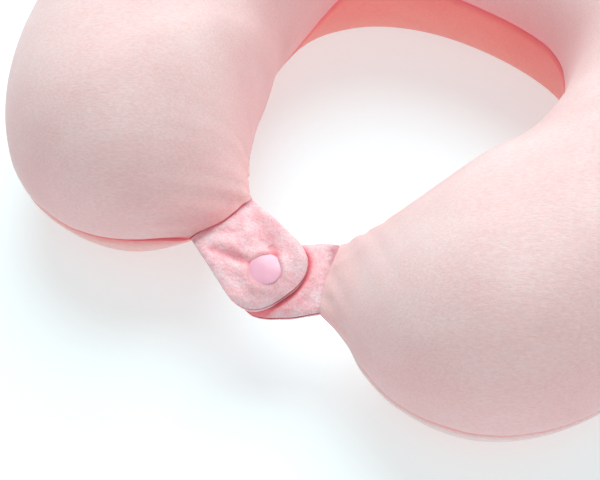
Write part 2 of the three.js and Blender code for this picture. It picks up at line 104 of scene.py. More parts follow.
# The plan outline of one arm: distance from the middle of the back, then the point and run of each edge.
OUTLINE = [
    (0, (0, 44), (0.63, 0), (0, 130), (1.65, 0)),
    (150, (56, 3), (0, -0.74), (144.5, -27.5), (0, -1.6)),
    (245, (48, -35.5), (-0.18, -0.59), (78, -130), (-1.42, 0)),
    (290, seam_corner(-1), (-0.75, -0.65), seam_corner(1), (-0.98, 0.64)),
]
STATIONS = [dict(zip(("s", "inner", "inner_run", "outer", "outer_run"), row)) for row in OUTLINE]
ARM_LENGTH = float(STATIONS[-1]["s"])


# ---------------- small maths
RUN_VALUES = 4096  # random values that `wander` goes through
GRAIN_SIDE, GRAIN_START = 512, 4000.0  # side of the square of values that `grain` reads, and its start there


def smooth(x):
    u = np.clip(x, 0, 1)
    return u * u * (3 - 2 * u)


def power(value, exponent):
    return np.sign(value) * np.abs(value) ** exponent


def bell(distance, width):
    return np.exp(-((distance / width) ** 2))


def wander(x, pitch, seed):
    """Smooth random run of values from -1 to 1 along x, one new value every pitch."""
    values = np.random.default_rng(seed).uniform(-1, 1, RUN_VALUES)
    at = np.asarray(x, float) / pitch + RUN_VALUES // 4
    whole = np.floor(at).astype(int)
    step = smooth(at - whole)
    return values[whole % RUN_VALUES] * (1 - step) + values[(whole + 1) % RUN_VALUES] * step


def grain(points, size, seed):
    """Smooth random value from -1 to 1 at each point of an (..., 2) array, with features of that size."""
    table = np.random.default_rng(seed).uniform(-1, 1, (GRAIN_SIDE, GRAIN_SIDE))
    at = points / size + GRAIN_START
    whole = np.floor(at).astype(int)
    u, v = np.moveaxis(smooth(at - whole), -1, 0)
    i, j = np.moveaxis(whole, -1, 0)

    def corner(a, b):
        return table[(i + a) % GRAIN_SIDE, (j + b) % GRAIN_SIDE]

    low = corner(0, 0) * (1 - u) + corner(1, 0) * u
    high = corner(0, 1) * (1 - u) + corner(1, 1) * u
    return low * (1 - v) + high * v


# ---------------- meshes
def make_piece(name, points, faces, material, body=None, **values):
    """A mesh object from points in millimetres; each of `values` is a number per point for its material."""
    mesh = bpy.data.meshes.new(name)
    mesh.from_pydata((np.asarray(points, float).reshape(-1, 3) * MM).tolist(), [], faces)
    for key, numbers in values.items():
        mesh.attributes.new(key, "FLOAT", "POINT").data.foreach_set("value", np.ravel(numbers).astype(float))
    mesh.polygons.foreach_set("use_smooth", [True] * len(mesh.polygons))
    obj = bpy.data.objects.new("detailed_" + name, mesh)
    bpy.context.scene.collection.objects.link(obj)
    obj.data.materials.append(material)
    if body:
        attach(obj, body)
    return obj


def loft_faces(rows, ring, close_ends=True):
    """Faces of a tube of `rows` closed rings of `ring` points; an end is closed by strips across it."""
    i, j = np.meshgrid(np.arange(rows - 1), np.arange(ring), indexing="ij")
    k = (j + 1) % ring
    faces = np.stack([i * ring + j, i * ring + k, (i + 1) * ring + k, (i + 1) * ring + j], -1)
    faces = faces.reshape(-1, 4).tolist()
    if close_ends:
        last = (rows - 1) * ring
        for m in range(ring // 2 - 1):
            strip = [m, ring - 1 - m, ring - 2 - m, m + 1]
            faces.append(strip)
            faces.append([last + v for v in reversed(strip)])
    return faces


def lathe(name, profile, place, material, flip=False, segments=72):
    """A turned piece from [radius, height] points, anticlockwise; `place` takes it to the model's frame."""
    turn = np.linspace(0, 2 * math.pi, segments, endpoint=False)
    r, z = np.array(profile, float).T
    if flip:
        r, z = r[::-1], -z[::-1]
    height = np.repeat(z[:, None], segments, 1)
    points = place(np.stack([r[:, None] * np.cos(turn), r[:, None] * np.sin(turn), height], -1))
    rows = len(r) if profile[0][0] > 0 else len(r) - 1  # clear of the axis, the profile closes on itself
    i, j = np.meshgrid(np.arange(rows), np.arange(segments), indexing="ij")
    k, above = (j + 1) % segments, (i + 1) % len(r)
    quads = np.stack([i * segments + j, i * segments + k, above * segments + k, above * segments + j], -1)
    obj = make_piece(name, points, quads.reshape(-1, 4).tolist(), material)
    tidy_mesh(obj, 1e-6)
    return obj


def tidy_mesh(obj, merge):
    """Merges points within `merge` metres, drops empty faces and turns all faces outwards."""
    mesh = bmesh.new()
    mesh.from_mesh(obj.data)
    bmesh.ops.remove_doubles(mesh, verts=mesh.verts, dist=merge)
    bmesh.ops.dissolve_degenerate(mesh, dist=merge / 10, edges=mesh.edges)
    bmesh.ops.recalc_face_normals(mesh, faces=mesh.faces)
    mesh.to_mesh(obj.data)
    mesh.free()


# ---------------- the pillow's form
THINNEST = 0.4  # half height that an inset section keeps at the tips
RELIEF = Sizes(to=24 * DEGREE, fade=18 * DEGREE)  # of the zip's relief, round from the outer seam
ROW_SPACING = (0.72, 0.28)  # shares of even spacing and of spacing that tightens towards the tips


def edge(s, point, run):
    """Hermite run of one edge of the outline at distances s from the middle of the back."""
    at = np.array([station["s"] for station in STATIONS], float)
    nodes = np.array([station[point] for station in STATIONS], float)
    runs = np.array([station[run] for station in STATIONS], float)
    b = np.clip(np.searchsorted(at, s), 1, len(at) - 1)
    a = b - 1
    span = (at[b] - at[a])[:, None]
    u = ((s - at[a]) / (at[b] - at[a]))[:, None]
    return (
        (2 * u**3 - 3 * u**2 + 1) * nodes[a]
        + span * (u**3 - 2 * u**2 + u) * runs[a]
        + (3 * u**2 - 2 * u**3) * nodes[b]
        + span * (u**3 - u**2) * runs[b]
    )


def along_arm(s, sizes):
    at_side, at_lobe = STATIONS[1]["s"], STATIONS[2]["s"]
    rise = smooth((s - sizes["level_to"]) / (at_side - sizes["level_to"]))
    return (
        sizes["back"]
        + (sizes["side"] - sizes["back"]) * rise
        + (sizes["lobe"] - sizes["side"]) * smooth((s - at_side) / (at_lobe - at_side))
    )


def zip_share(s, fade):
    """1 along the zip, falling to 0 within `fade` past its ends."""
    return 1 - smooth((np.abs(s) - ZIP.reach) / fade)


def section(s, inset):
    """Cross-sections at distances s, negative on the -X arm, drawn in by inset from the cover's face."""
    distance = np.abs(s)
    inner, outer = edge(distance, "inner", "inner_run"), edge(distance, "outer", "outer_run")
    width = np.linalg.norm(outer - inner, axis=1)
    drawn_in = np.clip((distance - ARM_LENGTH + TIP.length) / TIP.length, 0, 1)
    fullness = 1 - drawn_in**2
    seam = along_arm(distance, SEAM_HEIGHT)
    roll = ROLL["end"] * smooth((distance - ROLL["from"]) / (ROLL["to"] - ROLL["from"]))

    def tip_to(full):
        return np.maximum(TIP.half_height + (full - TIP.half_height) * fullness - inset, THINNEST)

    return {
        "mirror": np.where(s < 0, -1.0, 1.0),
        "roll": roll,
        "middle": (inner + outer) / 2,
        "outward": (outer - inner) / width[:, None],
        "half": width / 2 / np.cos(roll) - inset,
        "z": STRAP_SEAM.z + (seam - STRAP_SEAM.z) * fullness,
        "top": tip_to(along_arm(distance, CROWN)),
        "bottom": tip_to(seam + UNDERSIDE_FLAT),
        "floor": FLOOR_SPACING * inset,
    }


def on_section(form, phi, relief=None):
    """Points of the sections at angles phi: 0 at the outer side, 90 degrees at the crown, 180 inside."""
    upper = np.sin(phi) >= 0
    roundness = np.where(upper, TOP_ROUNDNESS, BOTTOM_ROUNDNESS)
    height = np.where(upper, form["top"][:, None], form["bottom"][:, None])
    across = form["half"][:, None] * power(np.cos(phi), roundness)
    if relief is not None:
        from_seam = np.abs(np.arctan2(np.sin(phi), np.cos(phi)))
        across = across - relief[:, None] * (1 - smooth((from_seam - RELIEF.to) / RELIEF.fade))
    rise = height * power(np.sin(phi), roundness)
    cos_roll, sin_roll = np.cos(form["roll"])[:, None], np.sin(form["roll"])[:, None]
    out = across * cos_roll + rise * sin_roll
    x = form["mirror"][:, None] * (form["middle"][:, :1] + form["outward"][:, :1] * out)
    y = form["middle"][:, 1:] + form["outward"][:, 1:] * out
    z = np.maximum(form["z"][:, None] + rise * cos_roll - across * sin_roll, form["floor"])
    return np.stack([x, y, z], -1)


def arm_rows(count, end):
    """Distances of cross-sections from tip to tip, closer together towards the tips."""
    u = np.linspace(-1, 1, count)
    return end * (ROW_SPACING[0] * u + ROW_SPACING[1] * np.sin(u * math.pi / 2))


def grid_normals(points):
    """Normals of a grid of points."""
    along, round_ = np.gradient(points, axis=0), np.gradient(points, axis=1)
    normal = np.cross(round_, along)
    return normal / np.maximum(np.linalg.norm(normal, axis=2, keepdims=True), 1e-9)


def seam_drop(s, drop):
    """How far round the section a side seam lies below the widest level."""
    distance = np.abs(s)
    below = smooth((distance - drop["from"]) / (drop["full"] - drop["from"]))
    back_up = smooth((distance - drop["fade_from"]) / (drop["to"] - drop["fade_from"]))
    return drop["angle"] * below * (1 - back_up)


def seam_shift(s, turn):
    """How far round the section the side seams' drop moves the points that it doesn't move at the crown."""
    outer, inner = seam_drop(s, OUTER_DROP)[:, None], seam_drop(s, INNER_DROP)[:, None]
    return np.where(np.cos(turn) > 0, -outer, -inner) * np.cos(turn)


# ---------------- cushion simulation
SIM = Sizes(rows=132, ring=64, start=2.0, pressure=4.0, frames=20, quality=4, cap=5.0)
HOLD = Sizes(seam=6, tip=24, least=0.02)  # how the grip on the seams and the tips eases off
SWELL = Sizes(least=-0.8, most=1.6, tip_fade=20)


def inflate_cover():
    """Offsets from the drawn form, on a grid of distances and angles, of the stuffed and inflated cover.

    A closed copy of the cover starts slightly inside its drawn form, is held along both side seams and at
    its tips, and is blown up as cloth. No point may move more than SIM.cap.
    """
    s = arm_rows(SIM.rows, ARM_LENGTH)
    turn = np.linspace(0, 2 * math.pi, SIM.ring, endpoint=False)
    phi = turn + seam_shift(s, turn)
    start = on_section(section(s, SIM.start), phi)
    normal = grid_normals(on_section(section(s, 0), phi))
    obj = make_piece("cover_blank", start, loft_faces(*phi.shape), None)
    held = obj.vertex_groups.new(name="held")
    from_seam = np.minimum(np.abs(np.sin(turn)) * HOLD.seam, 1)
    from_tip = smooth((ARM_LENGTH - np.abs(s)) / HOLD.tip)
    hold = 1 - np.outer(from_tip, from_seam)
    for index, weight in enumerate(hold.ravel()):
        if weight > HOLD.least:
            held.add([index], float(weight), "REPLACE")
    cloth = obj.modifiers.new("cloth", "CLOTH")
    cloth.settings.use_pressure = True
    cloth.settings.uniform_pressure_force = SIM.pressure
    cloth.settings.effector_weights.gravity = 0
    cloth.settings.vertex_group_mass = "held"
    cloth.settings.quality = SIM.quality
    cloth.point_cache.frame_start, cloth.point_cache.frame_end = 1, SIM.frames
    scene = bpy.context.scene
    for number in range(1, SIM.frames + 1):
        scene.frame_set(number)
    settled = obj.evaluated_get(bpy.context.evaluated_depsgraph_get()).to_mesh()
    moved = np.empty(len(settled.vertices) * 3)
    settled.vertices.foreach_get("co", moved)
    scene.frame_set(1)
    blank = obj.data
    bpy.data.objects.remove(obj)
    bpy.data.meshes.remove(blank)
    offset = ((moved.reshape(start.shape) / MM - start) * normal).sum(-1)
    return np.clip(offset, -SIM.cap, SIM.cap)


def swell(s, phi, offsets):
    if offsets is None:
        return np.zeros(phi.shape)
    level = offsets - offsets.mean()
    row = np.interp(s, arm_rows(SIM.rows, ARM_LENGTH), np.arange(SIM.rows))[:, None]
    column = np.mod((phi - seam_shift(s, phi)) / (2 * math.pi), 1) * SIM.ring
    i = np.minimum(np.floor(row).astype(int), SIM.rows - 2)
    j = np.floor(column).astype(int)
    a, b = row - i, column - j
    near, far = j % SIM.ring, (j + 1) % SIM.ring
    low = level[i, near] * (1 - b) + level[i, far] * b
    high = level[i + 1, near] * (1 - b) + level[i + 1, far] * b
    from_tip = smooth((ARM_LENGTH - np.abs(s)) / SWELL.tip_fade)[:, None]
    return np.clip(low * (1 - a) + high * a, SWELL.least, SWELL.most) * from_tip


# ---------------- cover
PANEL_ROWS, PANEL_COLUMNS = 320, 150
COLUMN_SPACING = 0.72  # how much closer together a panel's columns are at its seams
SEAM_DIP = Sizes(depth=0.9, width=1.5, inner_width=1.9, tip_fade=14, tip_share=0.2)
PUCKER = Sizes(depth=0.22, reach=6.5, pitch=5.5, clear=1.2, seeds=(3, 4))
# Folds that run into the strap seams; arm_shift keeps the two arms' folds from being the same.
GATHER = Sizes(depth=1.05, pitch=4.4, reach=11.0, tip_fade=6, tip_share=0.25, arm_shift=300)
GATHER_SEEDS = {1: 7, -1: 8}  # by panel
# The end of each arm leans over the root of its tab and rolls in under itself there. `reach` is how far it
# leans at the inner end, the middle and the outer end of the strap seam, `below` how far the underside does.
# In ROLL_IN, `shares` are what the height of the cover's outer and inner face is multiplied by in the end.
LIP = Sizes(rows=7, reach={-1: (1.0, 2.9, 0.6), 1: (0.4, 3.9, 5.2)}, below=0.7, fade=1.6, length=13.0)
ROLL_IN = Sizes(bulge=0.35, tuck=0.5, shares=(0.5, 1.7))
UNEVEN = Sizes(depth=0.25, pitch=3.1, run=14, seed=60)  # the waviness of the lip's edge
ARM_FADE = 60  # distance over which a number passes from one arm's value to the other's
# Painted shade: shares of the deeper pink that stands for shade, and how far each goes: in the side seams, at
# the tips (the second number is what the two arms differ by, the -X one being deeper), along the inner seam,
# where it sets in from a tip, and on the top panel's steep flanks, where it stands for their turning from the
# light.
PAINTED_SHADE = Sizes(seam=(0.7, 0.9), tip=(0.14, 0.08, 9), inner=(0.3, 12), inner_from=(15, 40), steep=(0.22, 0.8))
# The underside carries a painted salmon shade that stands for pink light bounced into its shade; its band beside
# the outer seam gets less of it, as if lit, and more so on the +X arm.
LIT_BAND = Sizes(share=0.7, tilt=0.22, width=10, fade=28)


def strap_axes(side):
    """Unit vectors at one strap seam: towards the tab, along the seam and square to the strap plane."""
    c, s = math.cos(SEAM_HEADING), math.sin(SEAM_HEADING)
    flat = np.array([[-side * c, -s, 0], [side * s, -c, 0], [0, 0, 1]])
    ct, st = math.cos(STRAP_TILT), math.sin(STRAP_TILT)
    return flat @ np.array([[1, 0, 0], [0, ct, st], [0, -st, ct]])


def seam_middle(side):
    return np.array([side * STRAP_SEAM.x, STRAP_SEAM.y, STRAP_SEAM.z])


def lean_over_tabs(shells, s):
    """Moves the ends of a panel's outer and inner runs of points forward, over the roots of the tabs."""
    for end in (-1, 1):
        forward, along, up = strap_axes(end)
        last = shells[0][-1 if end > 0 else 0] - seam_middle(end)
        across = last @ along / STRAP_SEAM.half_width
        waves = wander(across * UNEVEN.run, UNEVEN.pitch, UNEVEN.seed + end)
        reach = np.interp(across, (-1, 0, 1), LIP.reach[end]) + UNEVEN.depth * waves
        on_top = 1 - smooth(-(last @ up) / LIP.fade)
        reach = LIP.below + (reach - LIP.below) * on_top
        near = np.where(s * end > 0, 1 - smooth((ARM_LENGTH - np.abs(s)) / LIP.length), 0)
        for points in shells:
            points += (near[:, None] * reach)[..., None] * forward


def lip_rows(outer, inner, side):
    """Closed rows that roll the end of one arm in under itself, from its last two runs of points."""
    forward, _, up = strap_axes(side)
    rows = []
    for t in np.linspace(0, 90, LIP.rows + 1)[1:] * DEGREE:
        ahead = (ROLL_IN.bulge * math.sin(t) - ROLL_IN.tuck * (1 - math.cos(t))) * forward
        turns = (1 - math.cos(t), min(1.0, 3 * math.sin(t)))  # the inner face moves first
        row = [
            points + ahead + np.outer((points - seam_middle(side)) @ up * (share - 1) * turn, up)
            for points, share, turn in zip((outer, inner), ROLL_IN.shares, turns)
        ]
        rows.append(np.concatenate([row[0], row[1][::-1]]))
    return rows


def cover_panel(name, side, material, offsets):
    """One panel of the cover as a closed shell: side +1 is the top, -1 the underside."""
    s = arm_rows(PANEL_ROWS, ARM_LENGTH)
    form = section(s, 0)
    half_gap = SEAM_HALF_GAP + (ZIP.opening - SEAM_HALF_GAP) * zip_share(s, 4)
    height, roundness = (form["top"], TOP_ROUNDNESS) if side > 0 else (form["bottom"], BOTTOM_ROUNDNESS)

    def past(gap):
        return np.maximum(np.arcsin((gap / height) ** (1 / roundness)), gap / form["bottom"])

    start = past(half_gap) - side * seam_drop(s, OUTER_DROP)
    stop = math.pi + side * seam_drop(s, INNER_DROP) - past(SEAM_HALF_GAP)
    u = np.linspace(0, 1, PANEL_COLUMNS)
    u = u - COLUMN_SPACING * np.sin(2 * math.pi * u) / (2 * math.pi)
    phi = side * (start[:, None] + (stop - start)[:, None] * u)
    outer = on_section(form, phi)
    inner = on_section(section(s, COVER_THICKNESS), phi)
    normal = grid_normals(outer) * side

    step = np.linalg.norm(np.diff(outer, axis=1), axis=2)
    from_start = np.concatenate([np.zeros((len(s), 1)), np.cumsum(step, axis=1)], axis=1)
    to_end = from_start[:, -1:] - from_start
    to_tip = (ARM_LENGTH - np.abs(s))[:, None]
    dip = -swell(s, phi, offsets)
    for distance, seed in zip((from_start, to_end), PUCKER.seeds):
        eased = smooth(to_tip / SEAM_DIP.tip_fade + SEAM_DIP.tip_share)
        dip += SEAM_DIP.depth * bell(distance, SEAM_DIP.width) * eased
        beside = np.exp(-distance / PUCKER.reach) * (1 - bell(distance, PUCKER.clear))
        dip += PUCKER.depth * wander(s, PUCKER.pitch, seed)[:, None] * beside
    folds = wander(from_start + GATHER.arm_shift * (s[:, None] < 0), GATHER.pitch, GATHER_SEEDS[side])
    eased = smooth(to_tip / GATHER.tip_fade + GATHER.tip_share)
    dip += GATHER.depth * folds * np.exp(-to_tip / GATHER.reach) * eased
    outer = outer - normal * dip[..., None]
    outer[..., 2] = np.maximum(outer[..., 2], 0)
    seams = bell(from_start, SEAM_DIP.inner_width) + bell(to_end, SEAM_DIP.inner_width)
    inner = inner - normal * (SEAM_DIP.depth * seams)[..., None]
    lean_over_tabs((outer, inner), s)

    before, after = lip_rows(outer[0], inner[0], -1)[::-1], lip_rows(outer[-1], inner[-1], 1)
    ring = np.concatenate([before, np.concatenate([outer, inner[:, ::-1]], axis=1), after])
    arm = np.tanh(s / ARM_FADE)[:, None]
    # Painted shade: deeper pink in the seams, at the tips, along the inner seam and on the steep flanks.
    share, width = PAINTED_SHADE.seam
    crease = bell(np.minimum(from_start, to_end), width) * share
    share, tilt, reach = PAINTED_SHADE.tip
    crease += (share - tilt * arm) * np.exp(-to_tip / reach)
    (share, reach), (clear, fade) = PAINTED_SHADE.inner, PAINTED_SHADE.inner_from
    crease += share * np.exp(-to_end / reach) * smooth((to_tip - clear) / fade)
    if side > 0:
        share, slope = PAINTED_SHADE.steep
        crease += share * (1 - smooth(normal[..., 2] / slope))
    # Painted salmon shade of bounced pink light, lifted in the lit band beside the outer seam.
    band = 1 - smooth((from_start - LIT_BAND.width) / LIT_BAND.fade)
    warmth = 1 - (LIT_BAND.share + LIT_BAND.tilt * arm) * band
    lips = ((LIP.rows, LIP.rows), (0, 0))
    crease, warmth = (
        np.pad(np.concatenate([values, values[:, ::-1]], axis=1), lips, "edge") for values in (crease, warmth)
    )
    row = np.arange(len(ring))
    in_lip = np.maximum(LIP.rows - row, row - len(ring) + LIP.rows + 1)
    # The rolled-in lips are painted fully in shade.
    crease = np.maximum(crease, smooth((in_lip - 1) / 3)[:, None])
    if side < 0:
        ring, crease, warmth = ring[:, ::-1], crease[:, ::-1], warmth[:, ::-1]
    faces = loft_faces(*ring.shape[:2])
    piece = make_piece(name, ring, faces, material, "pillow", crease=crease, warmth=warmth)
    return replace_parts(piece, name)


CORE_ROWS, CORE_RING = 170, 96
RELIEF_END = 24  # distance past the zip's ends over which the core and the liner fill out again
LINER_SEAM = 1.2 * DEGREE  # half the gap where the liner's edges meet, at the outer side


def core_grid(turn):
    """Distances, angles and the zip's relief of the rows that the core and the liner are made of."""
    s = arm_rows(CORE_ROWS, ARM_LENGTH - INNER_END)
    return s, np.broadcast_to(turn, (CORE_ROWS, CORE_RING)), ZIP.relief * zip_share(s, RELIEF_END)


def foam_core(material):
    s, phi, relief = core_grid(np.linspace(0, 2 * math.pi, CORE_RING, endpoint=False))
    points = on_section(section(s, FOAM_INSET), phi, relief)
    piece = make_piece("foam_core", points, loft_faces(*phi.shape), material, "pillow")
    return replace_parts(piece, "foam_core")


def inner_liner(material):
    s, phi, relief = core_grid(np.linspace(LINER_SEAM, 2 * math.pi - LINER_SEAM, CORE_RING))
    outer = on_section(section(s, LINER_INSET), phi, relief)
    inner = on_section(section(s, LINER_INSET + LINER_THICKNESS), phi, relief)
    ring = np.concatenate([outer, inner[:, ::-1]], axis=1)
    piece = make_piece("inner_liner", ring, loft_faces(*ring.shape[:2]), material, "pillow")
    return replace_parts(piece, "inner_liner")


# ---------------- tabs
def tab_reach(tab):
    """Distance from the middle of a tab's strap seam to the snap."""
    return math.hypot(SNAP[0] - tab["side"] * STRAP_SEAM.x, SNAP[1])


def tab_turn(tab):
    """A tab's heading in the strap plane."""
    return math.atan2(SNAP[1], SNAP[0] - tab["side"] * STRAP_SEAM.x)


def tab_to_frame(tab, points):
    """Points in a tab's own frame, X towards the snap and Z square to the strap plane, in the model's."""
    c, s = math.cos(tab_turn(tab)), math.sin(tab_turn(tab))
    ct, st = math.cos(STRAP_TILT), math.sin(STRAP_TILT)
    x, y, z = np.moveaxis(np.asarray(points, float), -1, 0)
    across, forward = tab["side"] * STRAP_SEAM.x + c * x - s * y, s * x + c * y
    level, drop = STRAP_SEAM.y + ct * forward - st * z, STRAP_SEAM.z + st * forward + ct * z
    return np.stack([across, level, drop], -1)


def from_line(points, start, end):
    """Distance of each point from a line segment, and how far along the segment it lies, from 0 to 1."""
    start, end = np.array(start, float), np.array(end, float)
    run = end - start
    along = np.clip(((points - start) @ run) / (run @ run), 0, 1)
    return np.linalg.norm(points - start - along[..., None] * run, axis=-1), along


# Folds of the tabs' outer faces: start, end, height (negative is a furrow) and half width.
UPPER_FOLDS = [
    ((8.5, -11.4), (25.5, -3.0), -1.2, 2.0),
    ((8.0, -6.2), (21.0, -1.3), 0.6, 2.3),
    ((4.5, -4.5), (11.0, 0.4), -0.4, 1.9),
    ((7.0, 11.2), (28.5, 6.9), -0.7, 3.0),
    ((3.5, 9.0), (21.0, 1.8), 0.55, 2.4),
    ((24.0, 6.6), (29.5, 6.4), -0.7, 1.7),
]
LOWER_FOLDS = [
    ((11.0, -10.0), (4.0, -12.0), -0.4, 1.2),
    ((11.5, -4.0), (3.5, -9.0), -0.5, 1.5),
    ((12.0, 0.2), (4.0, 0.8), -0.35, 1.6),
    ((12.0, -1.8), (4.0, -3.5), 0.35, 1.4),
]
TAB_EDGE = Sizes(roll=3.2, groove=0.6, groove_reach=0.16, draw_in=0.9)
TAB_COLUMNS = Sizes(straight=86, round=120)
TAB_ROWS = 72
TAB_SPACING = (0.32, 0.68)  # shares of even spacing and of spacing that tightens towards the edge
ROOT = 0.5
# The second start and width set how the painted shade of a furrow sets in.
FOLD = Sizes(start=0.35, rise=4, crease_start=0.3, crease_width=0.8)  # how a fold sets in
THIN = Sizes(start=2.0, over=5, outer=(0.36, 0.64), inner=(0.32, 0.68))  # a tab is flatter at its root
DROOP = Sizes(past_snap=1, over=10)
COLLAR = Sizes(height=1.25, at=7.0, width=2.4)  # the plush stands up around the snap
# Under the snap's parts each layer is pressed to this thickness out to `from`, and fills out over `over`.
OUTER_SEAT = {"thickness": TAB.layer + CLEARANCE - 0.1, "from": 4.5, "over": 1.2}
INNER_SEAT = {"thickness": TAB.layer + 0.15, "from": 5.4, "over": 3.0}
# Shares of the painted shade, a deeper pink, and how far each goes: at the edge, at the root, around the cap,
# and in the band of the lower tab that the upper tab's end lies on; then in the furrows of the outer and of the
# hidden layer.
TAB_PAINTED_SHADE = Sizes(edge=(0.2, 0.3), root=(0.5, 2.6, 0.8), cap=(0.3, 6.2, 0.8), contact=(0.75, -2.6, 0.1, 0.8))
FURROW_PAINTED_SHADE = {"outer": 0.45, "hidden": 0.12}
SWOLLEN = Sizes(height=1.7, at=1.0, width=2.6, edge=3)  # the lower tab beside the upper tab's end
SHEET = 0.05  # half the gap between a tab's two layers
FLUFF = [(0.13, 0.85), (0.08, 0.45), (0.2, 3.3)]  # depth and size of the pile's lumps
CALM = Sizes(edge=0.6, root=2, ring=0.7, ring_at=5.8, ring_width=1.2)  # where the lumps are smaller


def end_start(tab):
    return tab_reach(tab) + TAB_END.past_snap - TAB_END.length


def tab_outline_rows(tab):
    """Points of a tab in plan, as rows that follow its outline at growing distances from the edge."""
    centre, half = end_start(tab), tab["end_half"]
    u = np.linspace(0, 1, TAB_ROWS)
    share = (TAB_SPACING[0] * u + TAB_SPACING[1] * u**2)[:, None]  # 0 at the edge, 1 in the middle
    x = np.linspace(ROOT, centre, TAB_COLUMNS.straight, endpoint=False)
    edge_y = TAB.root_half + (half - TAB.root_half) * x / centre
    straight = np.stack([np.broadcast_to(x, (TAB_ROWS, len(x))), -edge_y * (1 - share)], -1)
    turn = np.linspace(-math.pi / 2, math.pi / 2, TAB_COLUMNS.round)
    across = half * power(np.sin(turn), 2 / TAB_END.power)
    ahead = (TAB_END.length - TAB_EDGE.draw_in) * power(np.cos(turn), 2 / TAB_END.power)
    end = np.stack([centre + (1 - share) * ahead, (1 - share) * across], -1)
    plan = np.concatenate([straight, end, straight[:, ::-1] * [1, -1]], axis=1)
    distance = np.broadcast_to(share * half, plan.shape[:2])
    return plan, distance


def snap_distance(tab, plan):
    return np.hypot(plan[..., 0] - tab_reach(tab), plan[..., 1])


def seated(rise, from_snap, seat):
    """The rise of a tab's face, pressed down under a part of the snap."""
    return seat["thickness"] + (rise - seat["thickness"]) * smooth((from_snap - seat["from"]) / seat["over"])


def tab_heights(tab, plan, distance, folds, above, below):
    """Level of the sheet between a tab's two layers, and the rise of its outer and inner faces from it."""
    x = plan[..., 0]
    middle = tab["level"] * TAB.lift * smooth((x - TAB.root_gap) / TAB.rise)
    middle = middle - tab["droop"] * smooth((x - tab_reach(tab) - DROOP.past_snap) / DROOP.over)
    roll = np.sqrt(1 - (1 - np.clip(distance / TAB_EDGE.roll, 0, 1)) ** 2)
    from_snap = snap_distance(tab, plan)
    root = smooth((x - THIN.start) / THIN.over)
    outer = above * (THIN.outer[0] + THIN.outer[1] * root)
    for start, end, height, width in folds:
        away, along = from_line(plan, start, end)
        outer = outer + height * bell(away, width) * smooth(along * FOLD.rise + FOLD.start) * root
    outer = outer + COLLAR.height * bell(from_snap - COLLAR.at, COLLAR.width)
    inner = below * (THIN.inner[0] + THIN.inner[1] * root)
    return middle, seated(outer, from_snap, OUTER_SEAT) * roll, seated(inner, from_snap, INNER_SEAT) * roll


def past_upper_tab(tab, plan):
    """How far points in a tab's own frame lie outside the upper tab's outline; negative inside it."""
    c, s = math.cos(tab_turn(tab)), math.sin(tab_turn(tab))
    across = tab["side"] * STRAP_SEAM.x + c * plan[..., 0] - s * plan[..., 1]
    forward = s * plan[..., 0] + c * plan[..., 1]
    c, s = math.cos(tab_turn(UPPER_TAB)), math.sin(tab_turn(UPPER_TAB))
    across = across - UPPER_TAB["side"] * STRAP_SEAM.x
    x, y = c * across + s * forward, c * forward - s * across
    ahead, half, bent = np.maximum(x - end_start(UPPER_TAB), 0), UPPER_TAB["end_half"], TAB_END.power
    reach = ((ahead / TAB_END.length) ** bent + np.abs(y / half) ** bent) ** (1 / bent)
    return (reach - 1) * (TAB_END.length + half) / 2


def tab_creases(tab, facing, plan, distance, folds):
    """Share of painted shade at each point of a tab's face, from 0 to 1: in seams, furrows, round the cap and
    under the upper tab's end.
    """
    (edge_share, edge_width), (share, end, fade) = TAB_PAINTED_SHADE.edge, TAB_PAINTED_SHADE.root
    root = share * np.exp(-np.maximum(plan[..., 0] - end, 0) / fade)
    crease = edge_share * bell(distance, edge_width) + root
    # Painted shade in a ring around the snap cap.
    if facing == tab["level"]:
        share, at, width = TAB_PAINTED_SHADE.cap
        crease = crease + share * bell(snap_distance(tab, plan) - at, width)
    share = FURROW_PAINTED_SHADE["outer" if facing == tab["level"] else "hidden"]
    for start, end, height, width in folds:
        if height < 0:
            away, along = from_line(plan, start, end)
            set_in = smooth(along * FOLD.rise + FOLD.crease_start)
            crease = crease - share * height * bell(away, FOLD.crease_width * width) * set_in
    # Painted shadow where the upper tab's end lies on the lower tab.
    if tab["side"] > 0 and facing > 0:
        past, (share, start, end, fade) = past_upper_tab(tab, plan), TAB_PAINTED_SHADE.contact
        crease = crease + share * np.exp(-np.maximum(np.maximum(past - end, start - past), 0) / fade)
    return np.clip(crease, 0, 1)


def sheet_faces(rows, columns):
    """Faces of a closed shell of two grids of points, joined along the outline and across the root."""
    count = rows * columns
    i, j = np.meshgrid(np.arange(rows - 1), np.arange(columns - 1), indexing="ij")
    near, far = i * columns + j, (i + 1) * columns + j
    quad = np.stack([near, near + 1, far + 1, far], -1).reshape(-1, 4)
    faces = (quad + count).tolist() + quad[:, ::-1].tolist()
    a = np.arange(columns - 1)
    faces += np.stack([a, a + 1, count + a + 1, count + a], -1).tolist()
    for column, order in ((0, [3, 2, 1, 0]), (columns - 1, [0, 1, 2, 3])):
        k = np.arange(rows - 1) * columns + column
        faces += np.stack([k, count + k, count + k + columns, k + columns], -1)[:, order].tolist()
    return faces


